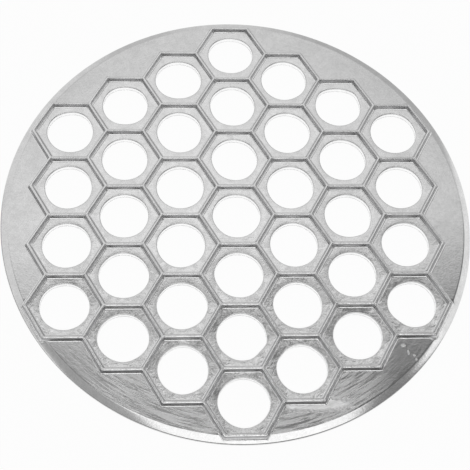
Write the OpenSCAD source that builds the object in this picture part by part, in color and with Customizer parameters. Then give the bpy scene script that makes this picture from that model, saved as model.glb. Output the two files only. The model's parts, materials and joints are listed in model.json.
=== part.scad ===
// Dumpling mould: a round cast plate with a honeycomb of raised cutting ridges on
// its upper face and a round hole through the floor of every cell.
// Units are millimetres. The plate lies on z = 0 and its middle cell is on the Z axis.

/* [Honeycomb] */
// Distance between the middles of neighbouring cells
cell_pitch = 33.9; // [32:0.1:38]
// Rings of cells around the middle cell
rings = 3; // [2:1:4]

/* [Ridges] */
// Height of the ridges above the floor of the cells
ridge_h = 2; // [1.4:0.1:4]
// Width of a ridge across its top
ridge_top_w = 1.4; // [1:0.1:1.8]
// Width of a ridge where its sides reach the floor
ridge_base_w = 2.8; // [2.2:0.1:3.4]
// Radius of the worn edges along the top of a ridge
ridge_edge_r = 0.3; // [0.1:0.05:0.4]
// Radius of the fillet along the root of a ridge
ridge_root_r = 0.6; // [0.3:0.1:0.8]

/* [Holes] */
// Width of the metal between neighbouring holes
web_w = 9.1; // [7:0.1:12]
// Radius of the rounded lip round the top of each hole
hole_lip_r = 0.5; // [0.3:0.1:1]

/* [Plate] */
// Thickness of the plate
plate_t = 3; // [2.4:0.1:5]
// Plain metal between the outermost ridge corners and the edge of the plate
rim_margin = 2.8; // [1.4:0.1:8]
// Width of the sloping shoulder round the upper face
shoulder_w = 3.7; // [2:0.1:6]
// Radius of the rounded outer edge
edge_r = 0.9; // [0.6:0.05:1.1]

/* [Hidden] */

// Facets round the plate, round a hole and round a small fillet
plate_fn = 144;
hole_fn = 36;
fillet_fn = 16;

// How far a cut runs past the face that it opens
overrun = 1;

// Diameter of the hole in each cell
hole_d = cell_pitch - web_w;

// Sides of a ridge lean in by this much for each millimetre of height
draft = (ridge_base_w - ridge_top_w) / 2 / ridge_h;
lean = atan(draft);

// The outermost ridges are carried down through the shoulder to this depth
ridge_depth = plate_t - edge_r;

// Half the width of a ridge at a height above the floor, before any rounding
function ridge_half(z) = ridge_base_w / 2 - draft * z;

// Distance from the middle of a ridge to where its root fillet meets the floor
root_x = ridge_half(ridge_root_r) + ridge_root_r / cos(lean);

// Middle of the edge rounding of a ridge. The rounding stops this many degrees up, so it
// meets the flat top at a slight angle, as an edge worn by use does
edge_turn = 70;
edge_z = ridge_h - ridge_edge_r * sin(edge_turn);
edge_x = ridge_half(edge_z) - ridge_edge_r / cos(lean);

// Where the edge rounding and the root fillet run into the side of a ridge, this little
// inside their circles, so that each circle is sure to cut the side
tuck = 0.002;
edge_end = [edge_x, edge_z] + (ridge_edge_r - tuck) * [cos(lean), sin(lean)];
root_end = [root_x, ridge_root_r] - (ridge_root_r - tuck) * [cos(lean), sin(lean)];

// Distance from the Z axis to the outermost corner of a honeycomb with n rings: half a
// cell past the middle of the last cell, and half a side of the hexagon off to one side
function corner_r(n) = cell_pitch * sqrt(pow(n + 0.5, 2) + 1 / 12);

disc_r = corner_r(rings) + ridge_half(0) / cos(30) + rim_margin;

// Top of the shoulder, middle of the rounded edge, and the point where the one runs into
// the other
shoulder_top = [disc_r - shoulder_w, plate_t];
edge_middle = [disc_r - edge_r, edge_r];
shoulder_way = shoulder_top - edge_middle;
shoulder_angle = atan2(shoulder_way.y, shoulder_way.x) - acos(edge_r / norm(shoulder_way));
shoulder_foot = edge_middle + edge_r * [cos(shoulder_angle), sin(shoulder_angle)];

// Circle that rounds an edge or a root
module small_circle(radius) {
  circle(r = radius, $fn = fillet_fn);
}

// Mirrors a section so that it has both of its sides
module both_sides() {
  for (side = [0, 1]) mirror([side, 0]) children();
}

// Section of the metal of one cell with the ridges round it, down into the plate
module block_section() {
  half = cell_pitch / 2;
  foot = half + root_x;
  difference() {
    both_sides() {
      polygon([
        [0, -ridge_depth], [foot, -ridge_depth], [foot, 0], [half, 0] + root_end,
        [half, 0] + edge_end, [half + edge_x, ridge_h + overrun], [0, ridge_h + overrun]
      ]);
      translate([half + edge_x, edge_z]) small_circle(ridge_edge_r);
    }
    both_sides() translate([foot, ridge_root_r]) small_circle(ridge_root_r);
  }
}

// Section of the hollow between two facing ridges
module hollow_section() {
  half = cell_pitch / 2;
  difference() {
    both_sides() {
      polygon([
        [0, 0], [half - root_x, 0], [half - root_end.x, root_end.y],
        [half - edge_end.x, edge_end.y], [half - edge_x, edge_z + ridge_edge_r],
        [half - edge_x, ridge_h + overrun], [0, ridge_h + overrun]
      ]);
      translate([half - root_x, ridge_root_r]) small_circle(ridge_root_r);
    }
    both_sides() translate([half - edge_x, edge_z]) small_circle(ridge_edge_r);
  }
}

// Gives a section the same form across all three pairs of sides of a cell
module six_sided() {
  intersection_for (turn = [30, 90, 150])
    rotate([90, 0, turn])
      linear_extrude(height = 2 * cell_pitch, center = true) children();
}

// Places a copy in each cell of the rings from the given one outwards
module in_cells(first_ring = 0) {
  for (i = [-rings : rings], j = [-rings : rings])
    if (abs(i + j) <= rings && max(abs(i), abs(j), abs(i + j)) >= first_ring)
      translate([i * cell_pitch * cos(30), (j + i / 2) * cell_pitch, 0]) children();
}

// Flat plate with a sloping shoulder and a round edge
module plate() {
  rotate_extrude($fn = plate_fn) {
    polygon([[0, 0], [edge_middle.x, 0], shoulder_foot, shoulder_top, [0, plate_t]]);
    translate(edge_middle) small_circle(edge_r);
  }
}

// Metal that the ridges are left standing out of
module ridge_metal() {
  translate([0, 0, plate_t]) {
    translate([0, 0, -ridge_depth])
      cylinder(r = corner_r(rings - 1), h = ridge_depth + ridge_h + overrun, $fn = plate_fn);
    in_cells(rings) six_sided() block_section();
  }
}

// Cut that leaves the tops of all the ridges flat and level
module top_cut() {
  translate([0, 0, plate_t + ridge_h]) cylinder(r = disc_r, h = 2 * overrun, $fn = plate_fn);
}

// Cut for one hole, flaring at its top into a rounded lip
module hole() {
  lip_x = hole_d / 2 + hole_lip_r;
  rotate_extrude($fn = hole_fn) difference() {
    union() {
      translate([0, -overrun]) square([hole_d / 2, plate_t + 2 * overrun]);
      translate([0, plate_t - hole_lip_r]) square([lip_x, hole_lip_r + overrun]);
    }
    translate([lip_x, plate_t - hole_lip_r]) small_circle(hole_lip_r);
  }
}

module mold() {
  color([0.8, 0.8, 0.81]) difference() {
    union() {
      plate();
      ridge_metal();
    }
    in_cells() translate([0, 0, plate_t]) six_sided() hollow_section();
    in_cells() hole();
    top_cut();
  }
}

mold();
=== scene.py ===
"""Looks of a round dumpling mould, cast in aluminium: a honeycomb of cutting ridges on a
plate with a round hole through every cell."""
import json
import math
import random

import bmesh
import bpy
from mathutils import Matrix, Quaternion, Vector, noise

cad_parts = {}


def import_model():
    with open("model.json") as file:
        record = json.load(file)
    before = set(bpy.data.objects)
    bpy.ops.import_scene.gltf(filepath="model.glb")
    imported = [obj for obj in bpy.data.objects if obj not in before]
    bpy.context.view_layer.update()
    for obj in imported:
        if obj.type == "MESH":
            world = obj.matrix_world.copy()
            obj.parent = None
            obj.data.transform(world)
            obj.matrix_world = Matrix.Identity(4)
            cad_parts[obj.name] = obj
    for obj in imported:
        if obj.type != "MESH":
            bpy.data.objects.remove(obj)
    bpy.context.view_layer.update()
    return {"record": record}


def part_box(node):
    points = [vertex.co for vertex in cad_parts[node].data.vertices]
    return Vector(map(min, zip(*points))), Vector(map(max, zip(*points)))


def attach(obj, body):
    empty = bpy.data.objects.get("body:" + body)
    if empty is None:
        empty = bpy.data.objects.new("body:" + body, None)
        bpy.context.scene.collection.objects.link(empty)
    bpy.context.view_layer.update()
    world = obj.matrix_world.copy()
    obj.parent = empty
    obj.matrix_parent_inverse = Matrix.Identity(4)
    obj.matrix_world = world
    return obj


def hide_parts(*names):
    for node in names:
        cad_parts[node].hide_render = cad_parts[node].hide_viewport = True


MM = 0.001

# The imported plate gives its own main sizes
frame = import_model()
plate_low, plate_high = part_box("mold")
bores = {m["name"]: m for m in frame["record"]["mounts"] if m["kind"] == "bore"}
DISC_R = (plate_high.x - plate_low.x) / 2
TOP_Z = plate_high.z
HOLE_R = bores["hole_centre"]["dims"]["r_mm"] * MM
RINGS = 3
PITCH = Vector(bores["hole_far"]["pos_m"]).to_2d().length / RINGS

# Section of a ridge: its sides, its rounded edges, the fillets at its roots, and how much
# lower its crest is worn at the edges than in the middle
RIDGE_H = 2.0 * MM
RIDGE_TOP_W = 1.4 * MM
RIDGE_BASE_W = 2.8 * MM
RIDGE_EDGE_R = 0.3 * MM
RIDGE_ROOT_R = 0.6 * MM
CREST_WEAR = 0.1 * MM
FLOOR_Z = TOP_Z - RIDGE_H

# Lip at the top of a hole, and the broken edge at its bottom
LIP_R = 0.5 * MM
BURR = 0.2 * MM

# The floor dips a little towards a hole: how deep, and over what width
DISH = 0.02 * MM
DISH_W = 1.3 * MM

# Shoulder and rounded edge of the plate, and half the width of the bend from the floor into
# the shoulder. The casting's rim is a little off the middle of its honeycomb
SHOULDER_W = 3.7 * MM
EDGE_R = 0.9 * MM
KINK = 0.35 * MM
RIM_MIDDLE = Vector((0.8, 0.9)) * MM

# Fineness of the mesh: steps round a cell, along a small rounding, across half a crest and
# round the plate's edge, how near to a rounding its support ring lies, and how near to each
# other two points are taken as one
CELL_STEPS = 84
ARC_STEPS = 3
CREST_STEPS = 3
EDGE_STEPS = 12
SUPPORT = 0.2 * MM
WELD = 0.01 * MM

# Unevenness of the casting: how far holes run out of round, in how many waves, and how
# sharply a dent in a hole ends
OUT_OF_ROUND = 0.07 * MM
WAVES = range(2, 7)
DENT_END = 2

# How far the ridges wander, over how long a stretch, what share of it goes up and down, and
# the seed that makes every run wander the same way
WANDER = 0.09 * MM
WANDER_LENGTH = 9 * MM
WANDER_UP = 0.5
WANDER_SEED = 37

# Nicks in the crests: how deep, over how long a stretch, and how rare
NICK = 0.07 * MM
NICK_LENGTH = 1.7 * MM
NICK_RARE = 0.2

# Holes that are plainly uneven: where round the hole in degrees, over how many degrees,
# and how far out in millimetres
UNEVEN_HOLES = {
    (-3, 3): ((0, 60, -0.3), (180, 60, -0.3)),
    (-3, 2): ((0, 60, -0.3), (180, 60, -0.3)),
    (-2, 3): ((90, 60, -0.5), (270, 60, -0.5), (0, 50, -0.3), (180, 50, -0.3)),
    (-2, 2): ((0, 60, -0.4), (180, 60, -0.4)),
    (-2, 0): ((0, 50, 0.3), (180, 50, 0.3)),
    (-2, -1): ((0, 50, 0.4), (180, 50, 0.4)),
    (-1, 3): ((200, 50, 0.4), (90, 60, -0.5), (270, 60, -0.4)),
    (-1, 2): ((0, 60, -0.5), (180, 60, -0.5)),
    (-1, -1): ((0, 50, 0.4), (180, 50, 0.4)),
    (0, 3): ((90, 70, -1.1), (270, 60, -0.5)),
    (0, 2): ((0, 60, -0.3), (180, 60, -0.3)),
    (0, 1): ((0, 60, -0.35), (180, 60, -0.35)),
    (0, -2): ((-45, 25, -0.6), (-12, 16, 0.4), (-130, 25, -0.4)),
    (0, -3): ((-90, 60, 0.4), (0, 50, 0.5), (180, 50, 0.4)),
    (1, -3): ((0, 50, 0.5), (50, 25, -0.3), (140, 20, -0.4), (-90, 60, 0.4)),
    (2, 1): ((90, 40, -0.7), (135, 25, 0.5), (40, 22, 0.5), (270, 60, -0.4)),
    (2, -1): ((-45, 30, 0.6), (180, 60, -0.4)),
    (3, -3): ((-130, 30, -0.5),),
}

# Marks kept on the mesh for the materials. The skirt is the floor round a hole, and on the
# rim everything from the bend outwards
MARKS = ("crest", "flank", "edge", "wall", "skirt")

# Edge mark along a ridge's rounded edge, where the honeycomb paints a dark line of shade:
# its start, its rise, and from where and how fast it falls again
EDGE_START = 0.2
EDGE_RISE = 2
EDGE_PEAK = 1.2
EDGE_FALL = 0.5

# Flank mark, which darkens the ridge sides partly as their as-cast tone and partly as
# painted shade: how it fades along the fillet at a ridge's root, painting shade into that
# corner, and how it grows round the plate's edge
ROOT_FLANK = 0.6
ROOT_FADE = 2
RIM_FLANK = -0.5
RIM_FLANK_RISE = 2.2

# Rings of the dip round a hole: how far out, what share of its depth, and skirt
DIP_RINGS = ((SUPPORT, 1, 1), (DISH_W / 2, 1 / 3, 0.8), (DISH_W, 0, 0.6))

# Ring between the dip and the ridges' foot: its share of the hexagon, and its skirt
FLOOR_HEXAGON = 0.5
FLOOR_SKIRT = 0.3

# Rings across the bend into the shoulder: how far out from its middle, and skirt
BEND_RINGS = ((-2 * KINK, 0), (-KINK, 0.3), (-KINK / 3, 1), (KINK / 3, 1), (KINK, 1))

# Depth of one step of a material's relief, above and below
RELIEF = 0.02 * MM
UNDERSIDE_RELIEF = 0.04 * MM

# Skin of the casting: the size and rise of its pits, its wide patches and its small clouds
PIT_LOOK = {"size": 0.9 * MM, "detail": 3.0, "rough": 0.6}
PIT_RISE = (0.3, 0.7)
PATCH_LOOK = {"size": 9 * MM, "detail": 3.0, "rough": 0.55, "twist": 0.4}
CLOUD_SIZE = 3 * MM
CLOUD_RISE = (0.35, 0.65)

# Fine scratches: the way of each set in degrees with a shift that sets it apart, how often
# they come along and across, how much they bend, and where the noise shows as lines
SCRATCH_SETS = ((25, 0.0), (80, 0.3), (140, 0.7))
SCRATCH_SCALE = (60, 2200, 60)
SCRATCH_BEND = 0.3
SCRATCH_RISE = (0.66, 0.74)

# Edge of a soft spot: the size and strength of its raggedness, and where it comes and goes
RAG_SIZE = 2 * MM
RAG = 0.6
SPOT_EDGE = (1.3, 0.9)

# Ramps are written as the way that they run, where they begin and end, and their first and
# last value where those aren't 0 and 1. On the plate they run along x and y in metres. The
# honeycomb looks livelier on the near side, and less so far to the right
NEAR_SIDE = ("y", -0.01, -0.08, 0.15, 1.0)
RIGHT_FADE = ("x", 0.08, 0.03, 0.35, 1.0)

# The near part of the rim, where its streaks show and are painted lighter as a sheen
NEAR_RIM = (("y", -0.02, -0.085, 0.15, 1.0), ("x", 0.08, 0.05, 0.15, 1.0),
            ("x", -0.085, -0.06, 0.15, 1.0))

# Honeycomb: its skin and scratches, and the wavy unevenness of its floors
HONEYCOMB_SKIN = {"Pits": 0.5, "Patches": 0.05, "Grain": 0.25}
HONEYCOMB_SCRATCHES = 0.5
WAVY_LOOK = {"size": 5 * MM, "detail": 4.0, "rough": 0.65, "twist": 0.6}

# Matt patches by the near holes: how much the skirt helps them, and where they come
MATT_SKIRT = 0.12
MATT_RISE = (0.5, 0.62)

# Band of painted shade round a near hole: how wavy it is, its outer and inner side, and its strength
BAND_WAVES = 0.8
BAND_OUTER = (1.1, 1.2)
BAND_INNER = (1.5, 1.38)
BAND_SHARE = 0.2

# Colours of the floors and of the band of painted shade on them
FLOOR_COLOUR = (0.84, 0.84, 0.84, 1)
BAND_SHADE_COLOUR = (0.5, 0.5, 0.5, 1)

# Colour and roughness of each marked part, laid over the floor's in this order
MARKED = {
    # The flank colour is partly the darker as-cast metal of the ridge sides and partly painted shade
    # on them and in their root fillets
    "flank": ((0.6, 0.6, 0.605, 1), 0.3),
    "crest": ((0.86, 0.86, 0.86, 1), 0.22),
    # The edge colour is painted shade: a dark line along the ridges' rounded edges and round the
    # holes' lips
    "edge": ((0.36, 0.36, 0.365, 1), 0.45),
    "wall": ((0.97, 0.97, 0.97, 1), 0.12),
}

# How far the painted dark line of shade is left out on the lips of the near holes
LIP_BRIGHT = 0.8

# Roughness of the floors, and of their matt patches from the far to the near side
FLOOR_ROUGH = 0.18
MATT_ROUGH = (0.3, 1.0, 0.5, 0.27)

# Scratches of the honeycomb: how much smoother they are, and how deep
SCRATCH_SHINE = 0.08
SCRATCH_DEPTH = 0.5

# Relief of the floors: height of their waves, far and near, and the fall to the near holes
WAVY_HEIGHT = (0.1, 1.0, 3.0, 18.0)
SKIRT_FALL = 9

# Rim: its skin, how many scratches it has and how rough they are, and the colour and
# roughness of the plain metal, of the streaks with their painted sheen, and of the sag and the nicks
RIM_SKIN = {"Pits": 0.35, "Patches": 0.05, "Grain": 0.3}
RIM_SCRATCHES = 0.6
RIM_SCRATCH_ROUGH = 0.08
RIM_COLOUR = (0.74, 0.74, 0.74, 1)
STREAK_AND_SHEEN_COLOUR = (0.86, 0.86, 0.86, 1)
RIM_ROUGH = 0.14
STREAK_ROUGH = 0.42
SAG_ROUGH = 0.4

# Streaks round the rim: how often they come along it and across it, and how they look
STREAKS_ALONG = 7
STREAKS_ACROSS = 800
STREAK_LOOK = {"size": 1.0, "detail": 4.0, "rough": 0.6, "twist": 0.5}
STREAK_RISE = (0.36, 0.64)
STREAK_HEIGHT = 1.5

# A slight sag of the near rim that catches the light: where, how far it reaches, and its
# slope in steps of relief for each metre
SAG_AT = (0.035, -0.103, 0.003)
SAG_REACH = (0.021, 0.0046, 0.02)
SAG_SLOPE = 9000

# Small bright nicks in the rim: where, and how far each reaches
NICKS = (
    ((0.0813, -0.0733, 0.003), (0.0013, 0.0009, 0.02)),
    ((0.0835, -0.077, 0.003), (0.0006, 0.0014, 0.02)),
    ((0.0864, -0.0786, 0.003), (0.0007, 0.0007, 0.02)),
    ((0.0871, -0.0808, 0.003), (0.0005, 0.0008, 0.02)),
)

# Broken metal inside those nicks
BROKEN_SIZE = 0.6 * MM
BROKEN_HEIGHT = 20

# Underside: its skin, and its colour and roughness as cast and in the scratches
UNDERSIDE_SKIN = {"Pits": 1.0, "Patches": 0.14, "Grain": 0.3}
UNDERSIDE_SCRATCHES = 1.0
CAST_COLOUR = (0.66, 0.66, 0.67, 1)
SCRATCH_COLOUR = (0.84, 0.84, 0.84, 1)
CAST_ROUGH = 0.56
SCRATCH_ROUGH = 0.4

# Camera, worked out from the ridge corners in the photograph
LENS = 87.11
SENSOR = 36
EYE = Vector((-44.4, -271.2, 532.8)) * MM
AIM = Vector((-1.37, -11.79, 4.0)) * MM
ROLL = math.radians(8.305)

# Floor under the plate, a hair below it, so that the two faces don't fight. What the camera
# and the metal see of it is nearly all its own plain white
FLOOR_REACH = 3.0
FLOOR_GAP = 0.1 * MM
FLOOR_WHITE = (0.9, 0.9, 0.9, 1)
FLOOR_MATT = 0.9
FLOOR_GLOW = 0.95

# How much three ways across the studio lean: from the gap to the back wall, to the front,
# and to the right end of the light in front
GAP_LEAN = 0.15
FRONT_LEAN = 0.4
RIGHT_LEAN = 0.35

# The back wall, a little darker lower down and to both sides
BACK_WALL = (("y", 0.44, 0.58, 1.0, 0.75), ("x", 0.1, 0.3, 0.0, -0.22),
             ("x", -0.03, -0.13, 0.0, -0.12))

# The dark gap overhead, darker to the right and just left of the middle, and lighter at
# both of its ends
GAP = (("x", 0.02, 0.2, 0.3, 0.13), ("x", -0.01, -0.06, 0.0, -0.1), ("x", 0.35, 0.5, 0.0, 0.12))
GAP_LEFT_END = (("x", -0.2, -0.4),)
GAP_LEFT_LIGHT = 0.42
GAP_TO_WALL = (("slant", 0.31, 0.39),)

# Walls and lights laid over these in turn: where each is, and its strength, which is a ramp
# in the low light on the left
LIGHTS = (
    # Wall on the left, and the low light under it
    ((("x", -0.24, -0.38), ("y", 0.05, 0.15)), 0.82),
    ((("x", -0.65, -0.75), ("y", -0.4, -0.3)), ("y", -0.05, -0.2, 0.82, 1.3)),
    # Low light on the right, and the bright slot above it
    ((("x", 0.68, 0.76), ("z", 0.7, 0.64), ("y", -0.2, -0.1)), 0.95),
    ((("x", 0.66, 0.74), ("z", 0.58, 0.66), ("y", -0.2, -0.12), ("y", 0.06, 0.0)), 1.3),
    # Box light in front and above
    ((("front", -0.15, -0.02), ("z", 0.6, 0.75), ("x", -0.36, -0.26), ("right", 0.43, 0.36)), 1.3),
)

# Dark low walls everywhere but at the back and the far right, and how dark they are
LOW_WALLS = (("y", 0.6, 0.4), ("z", 0.48, 0.28), ("x", 0.8, 0.6))
LOW_FRONT = (("y", -0.55, -0.85), ("z", 0.5, 0.3))
LOW_DARK = 0.85

# Half a cell, and how far the sides of a ridge lean in, for each step up and as an angle
HALF = PITCH / 2
DRAFT = (RIDGE_BASE_W - RIDGE_TOP_W) / 2 / RIDGE_H
LEAN = math.atan(DRAFT)


def ridge_half(z):
    """Half the width of a ridge at a height above the floor, before any rounding."""
    return RIDGE_BASE_W / 2 - DRAFT * z


ROOT_X = ridge_half(RIDGE_ROOT_R) + RIDGE_ROOT_R / math.cos(LEAN)
EDGE_H = RIDGE_H - CREST_WEAR - RIDGE_EDGE_R
EDGE_X = ridge_half(EDGE_H) - RIDGE_EDGE_R / math.cos(LEAN)

# The shoulder runs straight into the rounded edge at this angle round it
EDGE_MIDDLE = Vector((DISC_R - EDGE_R, EDGE_R))
SHOULDER_TOP = Vector((DISC_R - SHOULDER_W, FLOOR_Z))
shoulder_way = SHOULDER_TOP - EDGE_MIDDLE
SHOULDER_TURN = math.atan2(shoulder_way.y, shoulder_way.x) - math.acos(EDGE_R / shoulder_way.length)
SHOULDER_FOOT = EDGE_MIDDLE + EDGE_R * Vector((math.cos(SHOULDER_TURN), math.sin(SHOULDER_TURN)))


def arc(centre, radius, start, end, steps):
    """Points along an arc in a section, both ends included, and how far along each is."""
    points = []
    for i in range(steps + 1):
        turn = start + (end - start) * i / steps
        points.append((centre[0] + radius * math.cos(turn), centre[1] + radius * math.sin(turn),
                       i / steps))
    return points


def edge_mark(t):
    """The edge mark at a share of the way down a ridge's rounded edge."""
    return min(EDGE_START + EDGE_RISE * t, EDGE_PEAK - EDGE_FALL * t)


def ridge_section():
    """Half of a ridge, from its middle to its foot: distance out, height above the floor,
    and the marks of each point."""
    edge = arc((EDGE_X, EDGE_H), RIDGE_EDGE_R, math.pi / 2, LEAN, ARC_STEPS)
    root = arc((ROOT_X, RIDGE_ROOT_R), RIDGE_ROOT_R, math.pi + LEAN, math.pi * 1.5, ARC_STEPS)
    shares = [i / CREST_STEPS for i in range(CREST_STEPS)]
    points = [(EDGE_X * out, RIDGE_H - CREST_WEAR * out ** 2, {"crest": 1}) for out in shares]
    points += [(x, z, {"crest": 1 - t, "flank": t, "edge": edge_mark(t)}) for x, z, t in edge]
    points += [(x, z, {"flank": max(ROOT_FLANK - ROOT_FADE * t, 0)}) for x, z, t in root]
    return points + [(ROOT_X + SUPPORT, 0, {})]


def mark(v, layers, marks):
    """Keeps the marks of a vertex, and clears the ones that it doesn't have."""
    for name in MARKS:
        v[layers[name]] = marks.get(name, 0)


def mark_layers(bm):
    """The layers that hold the marks, made where they aren't there yet."""
    floats = bm.verts.layers.float
    return {name: floats.get(name) or floats.new(name) for name in MARKS}


def extrude_loop(bm, edges, place, marks):
    """Extrudes a loop of edges, moves the new vertices to where place puts them, marks
    them, and returns the new loop."""
    layers = mark_layers(bm)
    made = bmesh.ops.extrude_edge_only(bm, edges=edges)["geom"]
    verts = {g for g in made if isinstance(g, bmesh.types.BMVert)}
    for v in verts:
        v.co = place(v)
        mark(v, layers, marks)
    return [g for g in made if isinstance(g, bmesh.types.BMEdge) and set(g.verts) <= verts]


def hexagon_reach(direction, half_width):
    """How far a hexagon with sides at 30, 90 ... degrees reaches in a direction."""
    sixth = math.pi / 3
    off = math.atan2(direction.y, direction.x) % sixth - sixth / 2
    return half_width / math.cos(off)


def cell_section():
    """Rings of a cell, from the wall of its hole to the middle of its ridges: reach of its
    circle, half width of its hexagon, share of the hexagon, height, and marks."""
    lip = arc((HOLE_R + LIP_R, FLOOR_Z - DISH - LIP_R), LIP_R, math.pi, math.pi / 2, ARC_STEPS)
    out = HOLE_R + LIP_R
    foot = HALF - ROOT_X - SUPPORT
    rings = [(HOLE_R, 0, 0, z, {"wall": 1}) for z in (BURR, FLOOR_Z / 2)]
    rings += [(x, 0, 0, z, {"wall": 1 - t, "edge": math.sin(math.pi * t), "skirt": t})
              for x, z, t in lip]
    rings += [(out + away, 0, 0, FLOOR_Z - DISH * deep, {"skirt": skirt})
              for away, deep, skirt in DIP_RINGS]
    rings += [(out + DISH_W, foot, FLOOR_HEXAGON, FLOOR_Z, {"skirt": FLOOR_SKIRT})]
    rings += [(0, HALF - x, 1, FLOOR_Z + z, marks) for x, z, marks in reversed(ridge_section())]
    return rings


def cell():
    """One cell of the honeycomb, from the wall of its hole to the middle of its ridges."""
    bm = bmesh.new()
    bmesh.ops.create_circle(bm, segments=CELL_STEPS, radius=HOLE_R + BURR)
    layers = mark_layers(bm)
    for v in bm.verts:
        mark(v, layers, {"wall": 1})
    loop = list(bm.edges)
    for circle, hexagon, share, z, marks in cell_section():
        def place(v):
            way = v.co.to_2d().normalized()
            reach = circle * (1 - share) + hexagon_reach(way, hexagon) * share
            return (way * reach).to_3d() + Vector((0, 0, z))
        loop = extrude_loop(bm, loop, place, marks)
    mesh = bpy.data.meshes.new("cell")
    bm.to_mesh(mesh)
    bm.free()
    return mesh


def cell_places():
    """The middle of every cell, with its two numbers on the lattice."""
    around = range(-RINGS, RINGS + 1)
    return [
        (i, j, Vector((i * PITCH * math.cos(math.pi / 6), (j + i / 2) * PITCH, 0)))
        for i in around for j in around if abs(i + j) <= RINGS
    ]


def uneven(verts, draw, dents):
    """Takes a cell's hole out of round, by less and less towards the ridges."""
    waves = [(k, draw.uniform(0, 2 * math.pi), draw.gauss(0, OUT_OF_ROUND) / math.sqrt(k - 1))
             for k in WAVES]
    foot = HALF - ROOT_X
    inner = HOLE_R + LIP_R
    for v in verts:
        flat = v.co.to_2d()
        turn = math.atan2(flat.y, flat.x)
        out = sum(size * math.cos(k * turn + start) for k, start, size in waves)
        for where, width, size in dents:
            off = (math.degrees(turn) - where + 180) % 360 - 180
            out += size * MM * math.exp(-(off / width) ** 2 * DENT_END)
        keep = min(max((foot - flat.length) / (foot - inner), 0), 1)
        v.co += (flat.normalized() * out * keep).to_3d()


def honeycomb(bm):
    """All the cells, welded along the middles of their ridges."""
    one = cell()
    for i, j, middle in cell_places():
        before = len(bm.verts)
        bm.from_mesh(one)
        bm.verts.ensure_lookup_table()
        own = bm.verts[before:]
        uneven(own, random.Random(100 * i + j), UNEVEN_HOLES.get((i, j), ()))
        bmesh.ops.translate(bm, verts=own, vec=middle)
    bmesh.ops.remove_doubles(bm, verts=bm.verts, dist=WELD)
    bpy.data.meshes.remove(one)


def surface_z(reach):
    """Height of the plate's upper face at a distance from the middle of its rim."""
    fall = (FLOOR_Z - SHOULDER_FOOT.y) / (SHOULDER_FOOT.x - SHOULDER_TOP.x)
    past = reach - SHOULDER_TOP.x
    if past <= -KINK:
        return FLOOR_Z
    if past < KINK:
        return FLOOR_Z - fall * (past + KINK) ** 2 / (4 * KINK)
    return FLOOR_Z - fall * past


def open_edges(bm, low, high):
    """Edges with a face on one side only, between two heights."""
    return [
        e for e in bm.edges
        if len(e.link_faces) == 1 and all(low < v.co.z < high for v in e.verts)
    ]


def outer_sides(bm):
    """Outer sides of the outermost ridges, down to the plate. Returns the foot as a loop."""
    loop = open_edges(bm, TOP_Z - WELD, TOP_Z + WELD)
    vectors = bm.verts.layers.float_vector
    base, mitre = vectors.new("base"), vectors.new("mitre")
    outward = {}
    for e in loop:
        middle = (e.verts[0].co + e.verts[1].co) / 2
        along = (e.verts[1].co - e.verts[0].co).normalized()
        side = Vector((along.y, -along.x, 0))
        if side.dot(middle - e.link_faces[0].calc_center_median()) < 0:
            side = -side
        for v in e.verts:
            outward.setdefault(v, []).append(side)
    for v, (a, b) in outward.items():
        v[base] = v.co
        v[mitre] = (a + b) / (1 + a.dot(b))
    for x, z, marks in ridge_section()[1:]:
        def place(v):
            spot = (v[base] + v[mitre] * x).to_2d()
            ground = surface_z((spot - RIM_MIDDLE).length)
            return spot.to_3d() + Vector((0, 0, ground + (TOP_Z - ground) * z / RIDGE_H))
        loop = extrude_loop(bm, loop, place, marks)
    for name in ("mitre", "base"):
        vectors.remove(vectors[name])
    return loop


def wander(bm):
    """Lets the ridges wander a little and nicks their crests, as rough casting and use do."""
    crest = bm.verts.layers.float["crest"]
    noise.seed_set(WANDER_SEED)
    for v in bm.verts:
        up = (v.co.z - FLOOR_Z) / RIDGE_H
        if up <= 0:
            continue
        drift = noise.noise_vector(v.co / WANDER_LENGTH) * WANDER
        nick = max(noise.noise(v.co / NICK_LENGTH) - NICK_RARE, 0) * NICK * v[crest]
        v.co += Vector((drift.x, drift.y, drift.z * WANDER_UP - nick)) * up


def on_rim(way, reach, z):
    """A place on the rim, at a reach from its middle along a way, and at a height."""
    return (RIM_MIDDLE + way.normalized() * reach).to_3d() + Vector((0, 0, z))


def rim(bm, loop):
    """The plain rim, its shoulder and its rounded edge, out and down from the ridges' foot."""
    rings = [(SHOULDER_TOP.x + out, skirt) for out, skirt in BEND_RINGS]
    for reach, skirt in rings + [(SHOULDER_FOOT.x, 1)]:
        def place(v):
            away = v.co.to_2d() - RIM_MIDDLE
            out = max(away.length, reach)
            return on_rim(away, out, surface_z(out))
        loop = extrude_loop(bm, loop, place, {"skirt": skirt})
    for x, z, t in arc(EDGE_MIDDLE, EDGE_R, SHOULDER_TURN, -math.pi / 2, EDGE_STEPS)[1:]:
        def place(v):
            return on_rim(v.co.to_2d() - RIM_MIDDLE, x, z)
        flank = max(RIM_FLANK_RISE * t + RIM_FLANK, 0)
        loop = extrude_loop(bm, loop, place, {"skirt": 1, "flank": flank})


def underside(bm):
    """Flat face below, from the rim to the holes. Returns its faces."""
    edges = open_edges(bm, -WELD, WELD)
    made = bmesh.ops.triangle_fill(bm, use_beauty=True, use_dissolve=False, edges=edges,
                                   normal=(0, 0, -1))
    return [g for g in made["geom"] if isinstance(g, bmesh.types.BMFace)]


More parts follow.
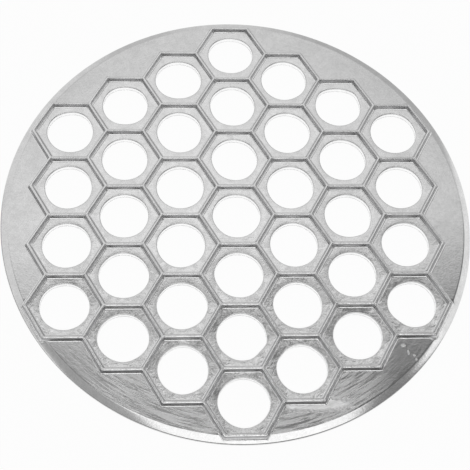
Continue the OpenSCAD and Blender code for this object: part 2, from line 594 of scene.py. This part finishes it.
def plate(materials):
    """The whole casting as one closed mesh, with its honeycomb, rim and underside in the
    three given materials."""
    bm = bmesh.new()
    honeycomb(bm)
    foot = outer_sides(bm)
    comb = set(bm.faces)
    rim(bm, foot)
    bmesh.ops.remove_doubles(bm, verts=bm.verts, dist=WELD)
    bmesh.ops.dissolve_degenerate(bm, edges=bm.edges, dist=WELD)
    comb = {f for f in comb if f.is_valid}
    below = set(underside(bm))
    for f in bm.faces:
        f.material_index = 0 if f in comb else 2 if f in below else 1
    wander(bm)
    bmesh.ops.recalc_face_normals(bm, faces=bm.faces)
    mesh = bpy.data.meshes.new("casting")
    bm.to_mesh(mesh)
    bm.free()
    mesh.shade_smooth()
    for material in materials:
        mesh.materials.append(material)
    piece = bpy.data.objects.new("casting", mesh)
    bpy.context.scene.collection.objects.link(piece)
    return piece


def fill(tree, node, values):
    """Gives a node's inputs their values, or links them to sockets."""
    for name, value in values.items():
        if isinstance(value, bpy.types.NodeSocket):
            tree.links.new(value, node.inputs[name])
        else:
            node.inputs[name].default_value = value
    return node


def add(tree, kind, values=(), **settings):
    """Adds a node to a tree, with its settings and its inputs."""
    made = tree.nodes.new("ShaderNode" + kind)
    for name, value in settings.items():
        setattr(made, name, value)
    return fill(tree, made, dict(values))


def calc(tree, operation, first, *others):
    """Takes values or sockets together, from the first to the last."""
    for other in others:
        first = add(tree, "Math", {0: first, 1: other}, operation=operation).outputs[0]
    return first


def ramp(tree, value, low, high, start=0.0, end=1.0):
    """A smooth rise from start to end while a value goes from low to high."""
    values = {"Value": value, "From Min": low, "From Max": high, "To Min": start, "To Max": end}
    return add(tree, "MapRange", values, interpolation_type="SMOOTHSTEP").outputs["Result"]


def ramps(tree, ways, rows, operation="MULTIPLY"):
    """Written ramps taken together."""
    return calc(tree, operation, *[ramp(tree, ways[way], *numbers) for way, *numbers in rows])


def split(tree, vector):
    """The three ways of a vector, by name."""
    return dict(zip("xyz", add(tree, "SeparateXYZ", {0: vector}).outputs))


def spots(tree, where, size, detail=2.0, rough=0.5, twist=0.0):
    """Cloudy noise with spots of a size in metres."""
    values = {"Vector": where, "Scale": 1 / size, "Detail": detail, "Roughness": rough,
              "Distortion": twist}
    return add(tree, "TexNoise", values).outputs["Fac"]


def blend(tree, share, first, second, how="MIX"):
    """Mixes two numbers or two colours by a share."""
    colour = any(isinstance(v, tuple) or getattr(v, "type", "") == "RGBA" for v in (first, second))
    a, b, mixed = (6, 7, 2) if colour else (2, 3, 0)
    return add(tree, "Mix", {0: share, a: first, b: second}, blend_type=how,
               data_type="RGBA" if colour else "FLOAT").outputs[mixed]


def kept_mark(tree, name):
    """A mark of the mesh."""
    return add(tree, "Attribute", attribute_name=name).outputs["Fac"]


def group(name, inputs, outputs):
    """An empty node group with named inputs and outputs. Gives it with its incoming sockets
    and its output node."""
    tree = bpy.data.node_groups.new(name, "ShaderNodeTree")
    for label, kind, value in inputs:
        socket = tree.interface.new_socket(label, in_out="INPUT", socket_type="NodeSocket" + kind)
        if value is not None:
            socket.default_value = value
    for label in outputs:
        tree.interface.new_socket(label, in_out="OUTPUT", socket_type="NodeSocketFloat")
    return tree, tree.nodes.new("NodeGroupInput").outputs, tree.nodes.new("NodeGroupOutput")


def use(tree, effect, **values):
    """Places a group in a material with its own values, and gives its outputs."""
    made = tree.nodes.new("ShaderNodeGroup")
    made.node_tree = effect
    return fill(tree, made, values).outputs


def cast_skin():
    """Skin of the casting: fine pits and wide cloudy patches."""
    tree, given, out = group(
        "cast_skin",
        [("Position", "Vector", None), ("Pits", "Float", 0.5), ("Patches", "Float", 0.5),
         ("Grain", "Float", 0.2)],
        ["Shade", "Gloss", "Height"],
    )
    fine = spots(tree, given["Position"], **PIT_LOOK)
    wide = spots(tree, given["Position"], **PATCH_LOOK)
    small = spots(tree, given["Position"], CLOUD_SIZE)
    cloud = calc(tree, "ADD", ramp(tree, wide, *CLOUD_RISE), ramp(tree, small, *CLOUD_RISE))
    # Patches and grain go as far up as down, so the metal keeps its mean
    patch = calc(tree, "MULTIPLY", calc(tree, "SUBTRACT", cloud, 1), given["Patches"])
    grain = calc(tree, "MULTIPLY", calc(tree, "SUBTRACT", fine, 0.5), given["Grain"])
    pits = calc(tree, "ADD", ramp(tree, fine, *PIT_RISE), small)
    fill(tree, out, {
        "Shade": calc(tree, "ADD", patch, grain, 1),
        "Gloss": calc(tree, "SUBTRACT", 1, patch),
        "Height": calc(tree, "MULTIPLY", pits, given["Pits"]),
    })
    return tree


def hair_scratches():
    """Fine scratches that run three ways, as knives and scrubbing leave them."""
    tree, given, out = group(
        "hair_scratches",
        [("Position", "Vector", None), ("Share", "Float", 0.5)],
        ["Mask"],
    )
    sets = []
    for turn, shift in SCRATCH_SETS:
        bent = add(tree, "Mapping", {"Vector": given["Position"],
                                     "Location": (shift, shift, 0),
                                     "Rotation": (0, 0, math.radians(turn)),
                                     "Scale": SCRATCH_SCALE}).outputs[0]
        line = spots(tree, bent, 1, detail=1.0, twist=SCRATCH_BEND)
        sets.append(ramp(tree, line, *SCRATCH_RISE))
    most = calc(tree, "MAXIMUM", *sets)
    fill(tree, out, {"Mask": calc(tree, "MULTIPLY", most, given["Share"])})
    return tree


def soft_spot():
    """An oval spot on the plate with a soft, ragged edge."""
    tree, given, out = group(
        "soft_spot",
        [("Position", "Vector", None), ("Middle", "Vector", None), ("Reach", "Vector", None)],
        ["Mask"],
    )
    away = add(tree, "VectorMath", {0: given["Position"], 1: given["Middle"]}, operation="SUBTRACT")
    share = add(tree, "VectorMath", {0: away.outputs[0], 1: given["Reach"]}, operation="DIVIDE")
    reach = add(tree, "VectorMath", {0: share.outputs[0]}, operation="LENGTH").outputs["Value"]
    ragged = calc(tree, "MULTIPLY", spots(tree, given["Position"], RAG_SIZE), RAG)
    fill(tree, out, {"Mask": ramp(tree, calc(tree, "ADD", reach, ragged), *SPOT_EDGE)})
    return tree


def metal(name):
    """A new material of bare metal. Gives it with its tree and object position."""
    material = bpy.data.materials.new(name)
    material.use_nodes = True
    tree = material.node_tree
    tree.nodes["Principled BSDF"].inputs["Metallic"].default_value = 1
    return material, tree, add(tree, "TexCoord").outputs["Object"]


def finish(tree, cast, colour, roughness, height, depth=RELIEF):
    """Joins colour, roughness and relief to the shader, with the casting's skin on the
    colour."""
    shaded = blend(tree, 1, colour, cast["Shade"], "MULTIPLY")
    bump = add(tree, "Bump", {"Height": height, "Distance": depth, "Strength": 1.0})
    fill(tree, tree.nodes["Principled BSDF"],
         {"Base Color": shaded, "Roughness": roughness, "Normal": bump.outputs[0]})


def honeycomb_metal(skin, scratches):
    """Cells and ridges: satin floors, sides darker as cast and by painted shade, a painted dark
    line along their edges, a band of painted shade round the near holes, and crests worn bright.
    """
    material, tree, where = metal("honeycomb_metal")
    marks = {name: kept_mark(tree, name) for name in MARKS}
    cast = use(tree, skin, Position=where, **HONEYCOMB_SKIN)
    hair = use(tree, scratches, Position=where, Share=HONEYCOMB_SCRATCHES)["Mask"]
    wavy = spots(tree, where, **WAVY_LOOK)
    ways = split(tree, where)
    near_side = ramps(tree, ways, [NEAR_SIDE])
    near = calc(tree, "MULTIPLY", near_side, ramps(tree, ways, [RIGHT_FADE]))
    # Matt patches of the floor, and a band of painted shade with wavy sides round the near holes
    patchy = calc(tree, "ADD", calc(tree, "MULTIPLY", marks["skirt"], MATT_SKIRT), wavy)
    matt = calc(tree, "MULTIPLY", ramp(tree, patchy, *MATT_RISE), near)
    ring = calc(tree, "ADD", marks["skirt"], calc(tree, "MULTIPLY", wavy, BAND_WAVES))
    band_shade = calc(tree, "MULTIPLY", ramp(tree, ring, *BAND_OUTER), ramp(tree, ring, *BAND_INNER),
                near, BAND_SHARE)
    # The lips of the near holes have less of the painted dark edge line than the ridges
    lip = calc(tree, "MULTIPLY", calc(tree, "ADD", marks["wall"], marks["skirt"]), near_side,
               LIP_BRIGHT)
    dark = dict(marks, edge=calc(tree, "MULTIPLY", marks["edge"], calc(tree, "SUBTRACT", 1, lip)))
    colour = blend(tree, band_shade, FLOOR_COLOUR, BAND_SHADE_COLOUR)
    rough = blend(tree, matt, FLOOR_ROUGH, ramp(tree, near_side, *MATT_ROUGH))
    # Painted shade: the flank and edge colours darken the ridge sides, their root fillets, their
    # rounded edges and the holes' lips
    for name, (part_colour, part_rough) in MARKED.items():
        colour = blend(tree, dark[name], colour, part_colour)
        rough = blend(tree, marks[name], rough, part_rough)
    rough = calc(tree, "MULTIPLY", rough, cast["Gloss"])
    rough = calc(tree, "SUBTRACT", rough, calc(tree, "MULTIPLY", hair, SCRATCH_SHINE))
    waves = calc(tree, "MULTIPLY", wavy, ramp(tree, near_side, *WAVY_HEIGHT))
    height = calc(tree, "SUBTRACT", calc(tree, "ADD", cast["Height"], waves),
                  calc(tree, "MULTIPLY", hair, SCRATCH_DEPTH),
                  calc(tree, "MULTIPLY", marks["skirt"], near_side, SKIRT_FALL))
    finish(tree, cast, colour, rough, height)
    return material


def rim_streaks_and_sheen(tree, ways):
    """Streaks that run round the rim, kept to its near part: real brushing that also sets a
    painted sheen there.
    """
    flat = add(tree, "CombineXYZ", {"X": ways["x"], "Y": ways["y"]}).outputs[0]
    reach = add(tree, "VectorMath", {0: flat}, operation="LENGTH").outputs["Value"]
    round_it = split(tree, add(tree, "VectorMath", {0: flat}, operation="NORMALIZE").outputs[0])
    polar = add(tree, "CombineXYZ", {
        "X": calc(tree, "MULTIPLY", round_it["x"], STREAKS_ALONG),
        "Y": calc(tree, "MULTIPLY", round_it["y"], STREAKS_ALONG),
        "Z": calc(tree, "MULTIPLY", reach, STREAKS_ACROSS),
    }).outputs[0]
    streak = spots(tree, polar, **STREAK_LOOK)
    inside_bend = calc(tree, "SUBTRACT", 1, kept_mark(tree, "skirt"))
    return calc(tree, "MULTIPLY", ramp(tree, streak, *STREAK_RISE), ramps(tree, ways, NEAR_RIM),
                inside_bend)


def rim_metal(skin, scratches, spot):
    """The rim: smoother, with streaks that run round it and a painted sheen on them on its
    near part, a bright sag, a few nicks, and painted shade on its rounded outer edge.
    """
    material, tree, where = metal("rim_metal")
    cast = use(tree, skin, Position=where, **RIM_SKIN)
    hair = use(tree, scratches, Position=where, Share=RIM_SCRATCHES)["Mask"]
    ways = split(tree, where)
    lines = rim_streaks_and_sheen(tree, ways)
    sag = use(tree, spot, Position=where, Middle=SAG_AT, Reach=SAG_REACH)["Mask"]
    nick = calc(tree, "MAXIMUM", *[
        use(tree, spot, Position=where, Middle=at, Reach=size)["Mask"] for at, size in NICKS
    ])
    # Painted sheen: the streaks on the near part of the rim are painted lighter
    colour = blend(tree, lines, RIM_COLOUR, STREAK_AND_SHEEN_COLOUR)
    # Painted shade: the plate's rounded outer edge takes the ridges' dark edge colour
    colour = blend(tree, kept_mark(tree, "flank"), colour, MARKED["edge"][0])
    rough = calc(tree, "MULTIPLY", blend(tree, lines, RIM_ROUGH, STREAK_ROUGH), cast["Gloss"])
    rough = blend(tree, calc(tree, "MAXIMUM", sag, nick), rough, SAG_ROUGH)
    rough = calc(tree, "ADD", rough, calc(tree, "MULTIPLY", hair, RIM_SCRATCH_ROUGH))
    slope = calc(tree, "MULTIPLY", calc(tree, "SUBTRACT", ways["y"], SAG_AT[1]), SAG_SLOPE)
    broken = calc(tree, "MULTIPLY", spots(tree, where, BROKEN_SIZE), BROKEN_HEIGHT)
    height = calc(tree, "ADD", cast["Height"], calc(tree, "MULTIPLY", lines, STREAK_HEIGHT),
                  calc(tree, "MULTIPLY", slope, sag), calc(tree, "MULTIPLY", broken, nick))
    finish(tree, cast, colour, rough, height)
    return material


def underside_metal(skin, scratches):
    """The underside: matt as cast, with bright scratches where it lies on the table."""
    material, tree, where = metal("underside_metal")
    cast = use(tree, skin, Position=where, **UNDERSIDE_SKIN)
    hair = use(tree, scratches, Position=where, Share=UNDERSIDE_SCRATCHES)["Mask"]
    colour = blend(tree, hair, CAST_COLOUR, SCRATCH_COLOUR)
    rough = calc(tree, "MULTIPLY", blend(tree, hair, CAST_ROUGH, SCRATCH_ROUGH), cast["Gloss"])
    finish(tree, cast, colour, rough, cast["Height"], UNDERSIDE_RELIEF)
    return material


def camera():
    """The photograph's view, from above and a little to the left."""
    data = bpy.data.cameras.new("camera")
    data.lens = LENS
    data.sensor_width = SENSOR
    eye = bpy.data.objects.new("camera", data)
    bpy.context.scene.collection.objects.link(eye)
    eye.location = EYE
    turn = (AIM - eye.location).to_track_quat("-Z", "Y")
    eye.rotation_mode = "QUATERNION"
    eye.rotation_quaternion = turn @ Quaternion((0, 0, 1), ROLL)
    bpy.context.scene.camera = eye


def floor():
    """A plain white floor that takes a faint shadow of the plate."""
    mesh = bpy.data.meshes.new("floor")
    bm = bmesh.new()
    bmesh.ops.create_grid(bm, x_segments=1, y_segments=1, size=FLOOR_REACH)
    bmesh.ops.translate(bm, verts=bm.verts, vec=(0, 0, -FLOOR_GAP))
    bm.to_mesh(mesh)
    bm.free()
    ground = bpy.data.objects.new("floor", mesh)
    bpy.context.scene.collection.objects.link(ground)
    material = bpy.data.materials.new("white_floor")
    material.use_nodes = True
    tree = material.node_tree
    matt = fill(tree, tree.nodes["Principled BSDF"],
                {"Base Color": FLOOR_WHITE, "Roughness": FLOOR_MATT})
    glow = add(tree, "Emission", {"Strength": 1.0})
    rays = add(tree, "LightPath").outputs
    seen = calc(tree, "MAXIMUM", rays["Is Camera Ray"], rays["Is Glossy Ray"],
                rays["Is Transmission Ray"])
    mix = add(tree, "MixShader", {0: calc(tree, "MULTIPLY", seen, FLOOR_GLOW),
                                  1: matt.outputs[0], 2: glow.outputs[0]})
    fill(tree, tree.nodes["Material Output"], {"Surface": mix.outputs[0]})
    ground.data.materials.append(material)


def sky_ways(tree):
    """The ways that the studio's ramps run: x to the right, y to the back, z up, and three
    that slant."""
    ways = split(tree, add(tree, "TexCoord").outputs["Generated"])
    x, y = ways["x"], ways["y"]
    aside = add(tree, "Math", {0: x}, operation="ABSOLUTE").outputs[0]
    forward = calc(tree, "MULTIPLY", y, -1)
    ways["slant"] = calc(tree, "SUBTRACT", y, calc(tree, "MULTIPLY", aside, GAP_LEAN))
    ways["front"] = calc(tree, "SUBTRACT", forward, calc(tree, "MULTIPLY", aside, FRONT_LEAN))
    ways["right"] = calc(tree, "ADD", x, calc(tree, "MULTIPLY", y, RIGHT_LEAN))
    return ways


def world():
    """White studio walls and a box light in front, with a dark gap overhead and dark walls
    low down."""
    studio = bpy.data.worlds.new("studio")
    bpy.context.scene.world = studio
    studio.use_nodes = True
    tree = studio.node_tree
    ways = sky_ways(tree)
    wall = ramps(tree, ways, BACK_WALL, "ADD")
    gap = blend(tree, ramps(tree, ways, GAP_LEFT_END), ramps(tree, ways, GAP, "ADD"), GAP_LEFT_LIGHT)
    light = blend(tree, ramps(tree, ways, GAP_TO_WALL), gap, wall)
    for rows, strength in LIGHTS:
        if isinstance(strength, tuple):
            strength = ramps(tree, ways, [strength])
        light = blend(tree, ramps(tree, ways, rows), light, strength)
    low = calc(tree, "MAXIMUM", ramps(tree, ways, LOW_WALLS), ramps(tree, ways, LOW_FRONT))
    shade = calc(tree, "SUBTRACT", 1, calc(tree, "MULTIPLY", low, LOW_DARK))
    light = calc(tree, "MULTIPLY", light, shade)
    rays = add(tree, "LightPath").outputs
    fill(tree, tree.nodes["Background"],
         {"Strength": blend(tree, rays["Is Camera Ray"], light, 1.0), "Color": (1, 1, 1, 1)})


bpy.context.scene.view_settings.view_transform = "Standard"
skin, scratches = cast_skin(), hair_scratches()
casting = plate([honeycomb_metal(skin, scratches), rim_metal(skin, scratches, soft_spot()),
                 underside_metal(skin, scratches)])
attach(casting, "root")
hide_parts("mold")
camera()
floor()
world()
